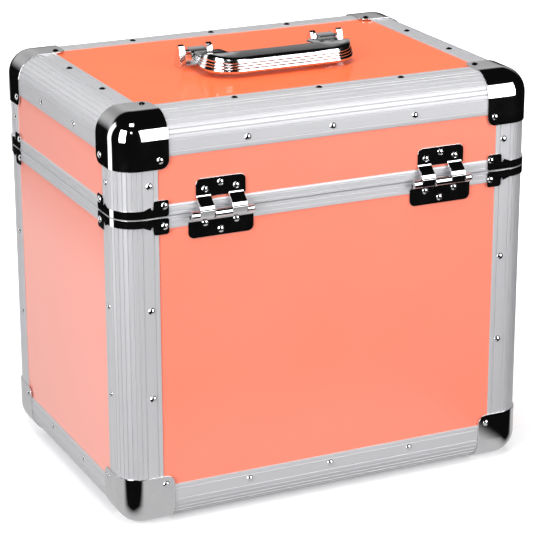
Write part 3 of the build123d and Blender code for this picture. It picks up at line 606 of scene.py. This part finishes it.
def add_brace(bm, place):
    """One brace round an upright edge; place has u and v inwards and w away from the split."""
    arc, ear_start, ear_end, half = brace_stations()
    rows = []
    for s in [-x for x in reversed(half)] + half[1:]:
        low, high = brace_reach(abs(s), ear_end, ear_start,
                                EAR_HEIGHT[1], EAR_HEIGHT[0] + STRAP_HEIGHT)
        if abs(s) <= arc:
            angle = pi / 4 + s / EDGE_R
            radius = EDGE_R + SHEET
            u, v = EDGE_R - radius * cos(angle), EDGE_R - radius * sin(angle)
        elif s > 0:
            u, v = EDGE_R + s - arc, -SHEET
        else:
            u, v = -SHEET, EDGE_R - s - arc
        rows.append([place @ Vector((u, v, low + (high - low) * f))
                     for f in (0, 0.25, 0.5, 0.75, 1)])
    add_grid(bm, rows)


def build_braces():
    """The braces above and below the split, at each upright edge."""
    for part, up in (("base", -1), ("lid", 1)):
        bm = bmesh.new()
        for sx, sy in CORNERS:
            origin = (sx * RIGHT_X, REAR_Y if sy > 0 else FRONT_Y, SPLIT_Z)
            add_brace(bm, axes((-sx, 0, 0), (0, -sy, 0), (0, 0, up), origin))
        node = f"{part}_braces"
        piece = piece_from(bm, f"{node}_pressed", part, CHROME, [node], 60)
        face_outwards(piece)
        thicken(piece, SHEET)


# ---- rivets -------------------------------------------------------------------------
def islands(mesh):
    """Lowest and highest corners of each separate solid of a mesh."""
    bm = bmesh.new()
    bm.from_mesh(mesh)
    bmesh.ops.remove_doubles(bm, verts=bm.verts, dist=0.005 * MM)
    seen, found = set(), []
    for first in bm.verts:
        if first.index in seen:
            continue
        seen.add(first.index)
        stack, points = [first], []
        while stack:
            vert = stack.pop()
            points.append(vert.co.copy())
            for edge in vert.link_edges:
                other = edge.other_vert(vert)
                if other.index not in seen:
                    seen.add(other.index)
                    stack.append(other)
        lo = Vector([min(p[k] for p in points) for k in range(3)])
        hi = Vector([max(p[k] for p in points) for k in range(3)])
        found.append((lo, hi))
    bm.free()
    return found


def add_rivet(bm, lo, hi):
    """A domed rivet that fills the same space as the CAD one."""
    size = hi - lo
    along = max(range(3), key=lambda k: size[k])
    across = [k for k in range(3) if k != along]
    outward = Vector((0, 0, 0))
    outward[along] = 1 if (lo + hi)[along] > 2 * MIDDLE[along] else -1
    radius = min(size[k] for k in across) / 2
    head = max(size[along] - RIVET_LENGTH, 0)
    side, other = Vector((0, 0, 0)), Vector((0, 0, 0))
    side[across[0]], other[across[1]] = 1, 1
    top = (lo + hi) / 2
    top[along] = hi[along] if outward[along] > 0 else lo[along]
    place = axes(side, other, outward, top)
    shank = RIVET_SHANK_R
    if head < 0.1 * MM:
        profile = [(0, 0), (shank * 0.8, 0), (shank, -0.2 * MM), (shank, -RIVET_LENGTH),
                   (0, -RIVET_LENGTH)]
    else:
        ball = (radius ** 2 + head ** 2) / (2 * head)
        dome = [radius * i / 9 for i in range(1, 10)]
        profile = [(0, 0)] + [(r, (ball ** 2 - r ** 2) ** 0.5 - ball) for r in dome]
        profile += [(radius * 0.97, -head - 0.02 * MM), (shank, -head),
                    (shank, -head - RIVET_LENGTH), (0, -head - RIVET_LENGTH)]
    add_turned(bm, profile, place, 28)


def build_rivets():
    """The rivets of the base and of the lid."""
    for part in ("base", "lid"):
        node = f"{part}_rivets"
        bm = bmesh.new()
        for lo, hi in islands(nodes[node].data):
            add_rivet(bm, lo, hi)
        piece_from(bm, f"{node}_domed", part, RIVET_STEEL, [node], 40)


# ---- foam lining --------------------------------------------------------------------
def add_foam(bm, lo, hi):
    """A foam slab with rounded edges and a softly uneven surface."""
    start = len(bm.verts)
    size = hi - lo
    place = Matrix.Translation((lo + hi) / 2) @ Matrix.Diagonal((*size, 1))
    bmesh.ops.create_cube(bm, size=1, matrix=place)
    bm.verts.ensure_lookup_table()
    fresh = set(bm.verts[start:])
    for axis in range(3):
        cuts = max(1, min(26, int(size[axis] / FOAM_CELL)))
        edges = [e for e in bm.edges if e.verts[0] in fresh and e.verts[1] in fresh
                 and abs((e.verts[0].co - e.verts[1].co)[axis]) > size[axis] * 0.9]
        made = bmesh.ops.subdivide_edges(bm, edges=edges, cuts=cuts, use_grid_fill=True)
        fresh |= {g for g in made["geom"] if isinstance(g, bmesh.types.BMVert)}


def foam_piece(node, slabs, body):
    """Foam slabs that stand for a node."""
    bm = bmesh.new()
    for lo, hi in slabs:
        add_foam(bm, lo, hi)
    piece = piece_from(bm, f"{node}_foam", body, FOAM, [node], 60)
    for vert in piece.data.vertices:
        x, y, z = (c / MM for c in vert.co)
        ripple = sin(x * 0.11 + y * 0.05) * sin(y * 0.13 + z * 0.07) * sin(z * 0.12 + x * 0.06)
        toward = MIDDLE - vert.co
        vert.co += toward.normalized() * ripple * FOAM_RIPPLE
    soften(piece, 1.6 * MM, 3, 50)


def build_foam():
    """The lining of the base and of the lid."""
    gap = Vector((FOAM_GAP,) * 3)
    for part, pad in (("base", "base_floor_pad"), ("lid", "lid_top_pad")):
        for node in (pad, f"{part}_wall_padding"):
            slabs = [(lo + gap, hi - gap) for lo, hi in islands(nodes[node].data)]
            foam_piece(node, slabs, part)


# ---- handle -------------------------------------------------------------------------
ARM_START = 5.5          # all sizes of the handle in mm, from the middle of the case
ARM_HALF = (42.5, 73.0)  # inner and outer side of an arm where it starts
GRIP_HALF = 75.3
GRIP_DEPTH = (32.6, 57.8)
GRIP_CORNER = (7.0, 30.0)
HANDLE_PIVOT = (-4.2, 13.5)
TONGUE = (56.2, 73.0)
TONGUE_R = 4.5
TOPS = ((5.5, 15.8), (26.6, 17.6), (36.0, 20.0), (46.0, 18.6), (54.5, 17.1), (57.8, 17.0))
BOTTOMS = ((5.5, 9.0), (30.6, 5.0), (38.6, 2.8), (57.8, 2.8))
SECTION_HEIGHT = 14.4    # of the grip's front, which the steps of the section fit
FINE_GROOVES = (6.0, 8.2, 10.4)
FRONT_LEAN = 0.31        # lean of the grip's front, inwards for each mm upwards


def between(table, at):
    """Reads a table of (position, value) with straight lines between its rows."""
    for (a, low), (b, high) in zip(table, table[1:]):
        if at <= b:
            return low + (high - low) * max(0.0, at - a) / (b - a)
    return table[-1][1]


def handle_stations():
    """Inner and outer plan points along the handle, from one arm round the grip to the other."""
    (inner_r, outer_r), (rear, front) = GRIP_CORNER, GRIP_DEPTH
    inner_c = Vector((ARM_HALF[0] - inner_r, rear - inner_r))
    outer_c = Vector((GRIP_HALF - outer_r, front - outer_r))
    half = []
    for t in (0.0, 0.35, 0.7):
        half.append((Vector((ARM_HALF[0], ARM_START + (inner_c.y - ARM_START) * t)),
                     Vector((ARM_HALF[1] + (GRIP_HALF - ARM_HALF[1]) * t,
                             ARM_START + (outer_c.y - ARM_START) * t))))
    for i in range(17):
        turn = Vector((cos(pi / 2 * i / 16), sin(pi / 2 * i / 16)))
        half.append((inner_c + inner_r * turn, outer_c + outer_r * turn))
    for t in (0.6, 0.3, 0.0):
        half.append((Vector((inner_c.x * t, rear)), Vector((outer_c.x * t, front))))
    other = [(Vector((-a.x, a.y)), Vector((-b.x, b.y))) for a, b in reversed(half[:-1])]
    return half + other


def handle_section():
    """Steps round the section: (side, in from that side, foot or top, from there)."""
    steps = [(0, 0, 0, 3.5), (0, 1.0, 0, 1.0), (0, 3.5, 0, 0), (1, 5.0, 0, 0), (1, 2.4, 0, 0.9),
             (1, 0.7, 0, 2.2), (1, 0, 0, 3.8)]
    for at in FINE_GROOVES:
        lean = (at - 3.8) * FRONT_LEAN
        steps += [(1, lean - 0.14, 0, at - 0.45), (1, lean + 0.29, 0, at),
                  (1, lean + 0.14, 0, at + 0.45)]
    return steps + [(1, 2.8, 1, 1.5), (1, 3.3, 1, 0.5), (1, 4.4, 1, 0), (1, 8.0, 1, 0),
                    (0, 9.0, 1, 0), (0, 4.0, 1, 0), (0, 1.5, 1, 0.7), (0, 0.3, 1, 2.0),
                    (0, 0, 1, 3.6)]


def build_handle():
    """The cast handle: a swept grip with two arms, and a tongue in each bracket."""
    bm = bmesh.new()
    panel_top = TOP_Z - SKIN
    rings = []
    for inner, outer in handle_stations():
        across = (outer - inner).normalized()
        ring = []
        for side, offset, at_top, rise in handle_section():
            p = outer - across * offset if side else inner + across * offset
            low, high = between(BOTTOMS, p.y), between(TOPS, p.y)
            rise *= (high - low) / SECTION_HEIGHT
            height = high - rise if at_top else low + rise
            ring.append(bm.verts.new((p.x * MM, MIDDLE.y + p.y * MM, panel_top + height * MM)))
        rings.append(ring)
    count = len(rings[0])
    for a, b in zip(rings, rings[1:]):
        for i in range(count):
            j = (i + 1) % count
            bm.faces.new((a[i], a[j], b[j], b[i]))
    bm.faces.new(rings[0][::-1])
    bm.faces.new(rings[-1])
    y0, z0 = HANDLE_PIVOT
    turns = [pi / 2 + pi * i / 12 for i in range(13)]
    outline = [(y0 + TONGUE_R * cos(a), z0 + TONGUE_R * sin(a)) for a in turns]
    outline += [(ARM_START + 1.0, BOTTOMS[0][1] + 0.3), (ARM_START + 1.0, TOPS[0][1] - 0.3)]
    outline = [(MIDDLE.y + u * MM, panel_top + v * MM) for u, v in outline]
    for side in (-1, 1):
        low, high = sorted(side * x * MM for x in TONGUE)
        add_prism(bm, outline, ALONG_X, low, high)
    piece_from(bm, "handle_cast_grip", "handle", CAST_CHROME, ["handle"], 32)


# ---- hinges -------------------------------------------------------------------------
HINGE_PIN = (6.5, -0.7)  # sizes of the hinges in mm: out from the rear face, above the split
BARREL_R = 4.0
LEAF_FACE = (-1.0, 0.5)  # back and front of the leaves' plates
LEAF_CORNER = 5.5
BASE_LEAF = (30.5, -23.0, -7.4)   # half width, lower and upper end of the plate
LID_LEAF = (23.2, 12.6, 29.5)
LEAF_ARMS = ((9.3, 22.8), (-21.2, -7.2))
BASE_KNUCKLES = ((23.3, 30.5), (-6.7, 8.8))
ARM_CURVE = (
    (-0.9, 14.6), (0.5, 14.6), (0.75, 13.7), (1.4, 12.9), (2.2, 12.2), (6.3, 8.8), (7.2, 7.9),
    (7.9, 7.0), (8.5, 6.0), (8.95, 4.9), (9.1, 4.2), (9.3, 3.8), (10.1, 3.6), (10.5, 3.1),
    (10.0, 1.6), (9.3, -0.3), (8.6, -2.2), (7.9, -3.8), (7.2, -4.5), (6.5, -4.7),
)
ARM_BACK = ((5.0, 1.0), (3.2, 2.4), (0.6, 6.4), (0.4, 11.8), (-0.9, 12.6))
RAMP = (
    (0.0, -8.2), (0.5, -8.2), (0.7, -7.4), (1.3, -6.5), (2.2, -5.4), (3.3, -4.4), (3.0, -3.7),
    (2.0, -4.3), (0.8, -5.6), (0.0, -6.4),
)
NECK = ((2.6, -3.9), (3.4, -4.6), (5.4, -4.6), (6.5, -3.6), (6.5, -0.7), (3.6, -0.7))


def rear_section(points):
    """Turns (out, up) sizes of a hinge into a section in Y and Z."""
    return [(REAR_Y + n * MM, SPLIT_Z + w * MM) for n, w in points]


def leaf_plate(x, leaf, rounded_end):
    """Plate outline in X and Z, with two corners rounded at the end given by -1 or 1."""
    half, low, high = leaf
    near, far = (low, high) if rounded_end == 1 else (high, low)
    turns = [pi / 2 * i / 8 for i in range(9)]
    right = [(half - LEAF_CORNER * (1 - cos(a)), far - rounded_end * LEAF_CORNER * (1 - sin(a)))
             for a in turns]
    outline = [(half, near)] + right + [(-u, w) for u, w in reversed(right)] + [(-half, near)]
    return [(x + u * MM, SPLIT_Z + w * MM) for u, w in outline]


def add_barrel(bm, x0, x1):
    """A knuckle round the pin."""
    out, up = HINGE_PIN
    ring = [(out + BARREL_R * cos(2 * pi * i / 28), up + BARREL_R * sin(2 * pi * i / 28))
            for i in range(28)]
    add_prism(bm, rear_section(ring), ALONG_X, x0, x1)


def build_hinges():
    """Both leaves of both hinges, with rolled arms, a ramp and knuckles."""
    flat = axes((1, 0, 0), (0, 0, 1), (0, 1, 0), (0, REAR_Y, 0))
    back, face = (v * MM for v in LEAF_FACE)
    for side in ("left", "right"):
        lo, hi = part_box(f"hinge_{side}_base_leaf")
        x = (lo.x + hi.x) / 2
        half = BASE_LEAF[0] * MM
        base, lid = bmesh.new(), bmesh.new()
        add_prism(base, leaf_plate(x, BASE_LEAF, -1), flat, back, face)
        add_prism(base, rear_section(RAMP), ALONG_X, x - half, x + half)
        for x0, x1 in BASE_KNUCKLES:
            add_prism(base, rear_section(NECK), ALONG_X, x + x0 * MM, x + x1 * MM)
            add_barrel(base, x + x0 * MM, x + x1 * MM)
        add_prism(lid, leaf_plate(x, LID_LEAF, 1), flat, back, face)
        for x0, x1 in LEAF_ARMS:
            add_prism(lid, rear_section(ARM_CURVE + ARM_BACK), ALONG_X, x + x0 * MM, x + x1 * MM)
        for part, bm in (("base", base), ("lid", lid)):
            node = f"hinge_{side}_{part}_leaf"
            piece = piece_from(bm, f"{node}_rolled", part, CHROME, [node], 30)
            soften(piece, 0.3 * MM, 3, 45)


# ---- CAD nodes that keep their shape -------------------------------------------------
def paint(node, material, bevel=None):
    """Gives a CAD node its material and, when a bevel width is given, softened edges."""
    piece = nodes[node]
    for slot in piece.material_slots:
        slot.link = "OBJECT"
        slot.material = material
    if bevel:
        weld = piece.modifiers.new("weld", "WELD")
        weld.merge_threshold = 0.004 * MM
        flat = piece.modifiers.new("flat", "DECIMATE")
        flat.decimate_type = "DISSOLVE"
        flat.angle_limit = radians(0.6)
        soften(piece, bevel, 2, 28)


def paint_nodes():
    """Materials of the panels and of the hardware."""
    for node in nodes:
        if node.endswith("panel"):
            # The lid's top panel takes the deeper copy; the other panels take the paler copy with
            # painted haze.
            paint(node, LAMINATE_TOP_COPY if node == "lid_top_panel" else LAMINATE_SIDES_PAINTED_HAZE)
    for side in ("left", "right"):
        for part in ("base", "keeper", "lever", "hook", "link_pin"):
            paint(f"latch_{side}_{part}", CHROME, 0.2 * MM)
        paint(f"handle_{side}_bracket", CAST_CHROME, 0.7 * MM)
    for node in ("hinge_pins", "latch_pivot_pins", "handle_pivot_pins"):
        paint(node, CHROME)


# ---- studio -------------------------------------------------------------------------
LENS = 150.4             # mm, on a sensor of SENSOR mm
SENSOR = 36.0
CAMERA_AT = (0.8349, 1.8054, 0.855)
CAMERA_AIM = (0.0, 0.0124, 0.175)
CAMERA_ROLL = -0.16      # degrees
LAMP_AIM = (0, 0, 0.25)


def add_camera():
    """A long lens from the rear right, a little above the lid."""
    data = bpy.data.cameras.new("camera")
    data.lens = LENS
    data.sensor_width = SENSOR
    camera = bpy.data.objects.new("camera", data)
    bpy.context.scene.collection.objects.link(camera)
    camera.location = CAMERA_AT
    aim = Vector(CAMERA_AIM) - camera.location
    camera.rotation_mode = "QUATERNION"
    roll = Matrix.Rotation(radians(CAMERA_ROLL), 3, "Z").to_quaternion()
    camera.rotation_quaternion = aim.to_track_quat("-Z", "Y") @ roll
    bpy.context.scene.camera = camera


def softbox(name, azimuth, elevation, distance, width, height, strength):
    """An area light that faces the case. Azimuth 0 is at +Y and 90 is at +X."""
    data = bpy.data.lights.new(name, "AREA")
    data.shape = "RECTANGLE"
    data.size, data.size_y = width, height
    data.energy = strength * width * height
    light = bpy.data.objects.new(name, data)
    bpy.context.scene.collection.objects.link(light)
    a, e = radians(azimuth), radians(elevation)
    target = Vector(LAMP_AIM)
    light.location = target + distance * Vector((sin(a) * cos(e), cos(a) * cos(e), sin(e)))
    light.rotation_mode = "QUATERNION"
    light.rotation_quaternion = (target - light.location).to_track_quat("-Z", "Y")
    light.visible_camera = False
    return light


def add_lights():
    """Two standing softboxes beside the camera, two small ones above it, and soft fill light.

    After the name: azimuth, elevation, distance, width, height and strength.
    """
    softbox("softbox_right", -30, 16, 1.9, 1.25, 1.5, 13.8)
    softbox("softbox_left", 60, 16, 1.9, 0.80, 1.5, 30)
    softbox("softbox_small", 25, 32, 2.3, 0.22, 0.22, 14)
    softbox("softbox_high", 25, 62, 2.0, 0.50, 0.42, 13)
    unseen_in_metal = [
        softbox("softbox_back", 190, 48, 2.4, 1.6, 0.9, 7),
        softbox("softbox_front", 178, 14, 2.4, 1.6, 1.2, 10),
        softbox("softbox_overhead", 20, 82, 1.7, 1.5, 1.3, 12.5),
    ]
    for light in unseen_in_metal:
        light.visible_glossy = False


def add_world():
    """White to the camera. To the rest it is a dark room with a pale backdrop behind the case."""
    world = bpy.data.worlds.new("studio")
    bpy.context.scene.world = world
    world.use_nodes = True
    world.node_tree.nodes.clear()
    t = Tree(world.node_tree)
    towards = t.add("ShaderNodeTexCoord").outputs["Generated"]
    x, y, z = t.add("ShaderNodeSeparateXYZ", {0: towards}).outputs
    upright = t.product(t.step(z, 0.58, 0.34), t.step(z, 0.02, 0.30))
    backdrop = t.product(t.step(y, -0.45, -0.80), upright)
    banner = t.product(t.band(t.math("ARCTAN2", x, y)), t.step(z, 0.66, 0.54))
    pale = t.math("MAXIMUM", t.product(backdrop, BACKDROP), t.product(banner, BANNER))
    room = t.add("ShaderNodeBackground", {"Color": WHITE, "Strength": t.math("ADD", pale, DARK)})
    white = t.add("ShaderNodeBackground", {"Color": WHITE, "Strength": 1.0})
    seen = t.add("ShaderNodeLightPath").outputs["Is Camera Ray"]
    both = t.add("ShaderNodeMixShader", {0: seen, 1: room.outputs[0], 2: white.outputs[0]})
    t.add("ShaderNodeOutputWorld", {"Surface": both.outputs[0]})


def add_floor():
    """A pale sweep that metal mirrors only close to the case, in front of it and in one lane.

    It is darker to bounced light than to the camera, so the undersides stay dark.
    """
    bm = bmesh.new()
    bmesh.ops.create_circle(bm, cap_ends=True, radius=FLOOR_RADIUS, segments=96)
    mesh = bpy.data.meshes.new("floor")
    bm.to_mesh(mesh)
    bm.free()
    floor = bpy.data.objects.new("floor", mesh)
    bpy.context.scene.collection.objects.link(floor)
    n = Nodes("pale_floor")
    coords = n.add("ShaderNodeTexCoord").outputs["Object"]
    x, y, _ = n.add("ShaderNodeSeparateXYZ", {0: coords}).outputs
    side = n.math("ABSOLUTE", x)
    away = n.add("ShaderNodeVectorMath", {0: coords}, operation="LENGTH").outputs["Value"]
    glow = n.spread(away, 0.22, 0.55, 0.25, 0.90)
    n.set(Base_Color=n.mix(n.noise(coords, 3.0, 2.0), (0.80, 0.80, 0.81, 1), (0.84, 0.84, 0.85, 1)),
          Roughness=0.6, Emission_Color=WHITE, Emission_Strength=glow)

    close = n.product(
        n.step(side, RIGHT_X + 0.30, RIGHT_X + 0.12), n.step(y, REAR_Y + 0.30, REAR_Y + 0.12))
    beyond_corner = n.product(
        n.step(side, RIGHT_X - 0.02, RIGHT_X + 0.01), n.step(y, REAR_Y - 0.02, REAR_Y + 0.01))
    near = n.product(close, n.step(y, -0.45, -0.30), n.math("SUBTRACT", 1.0, beyond_corner))
    front = n.product(n.step(side, 0.50, 0.40), n.step(y, -0.25, -0.35))
    from_corner = n.add("ShaderNodeVectorMath", {0: coords, 1: (-RIGHT_X, -REAR_Y, 0)},
                        operation="ADD").outputs[0]
    east, north, _ = n.add("ShaderNodeSeparateXYZ", {0: from_corner}).outputs
    lane = n.product(n.band(n.math("ARCTAN2", east, north)), n.step(away, 0.45, 0.60))
    pale = n.math("MAXIMUM", n.product(n.math("MAXIMUM", near, front), MIRRORED_FLOOR),
                  n.product(lane, BANNER))
    mirrored = n.add("ShaderNodeEmission", {"Color": WHITE, "Strength": n.math("ADD", pale, DARK)})
    dim = n.add("ShaderNodeBsdfDiffuse", {"Color": (0.30, 0.30, 0.31, 1)})
    ray = n.add("ShaderNodeLightPath").outputs
    mixed = n.add("ShaderNodeMixShader",
                  {0: ray["Is Diffuse Ray"], 1: n.shader.outputs[0], 2: dim.outputs[0]})
    mixed = n.add("ShaderNodeMixShader",
                  {0: ray["Is Glossy Ray"], 1: mixed.outputs[0], 2: mirrored.outputs[0]})
    n.tree.links.new(mixed.outputs[0], n.tree.nodes["Material Output"].inputs["Surface"])
    mesh.materials.append(n.material)


build_rails()
build_posts()
build_rims()
build_caps()
build_braces()
build_rivets()
build_foam()
build_handle()
build_hinges()
paint_nodes()
add_camera()
add_lights()
add_world()
add_floor()
bpy.context.scene.view_settings.view_transform = "Standard"
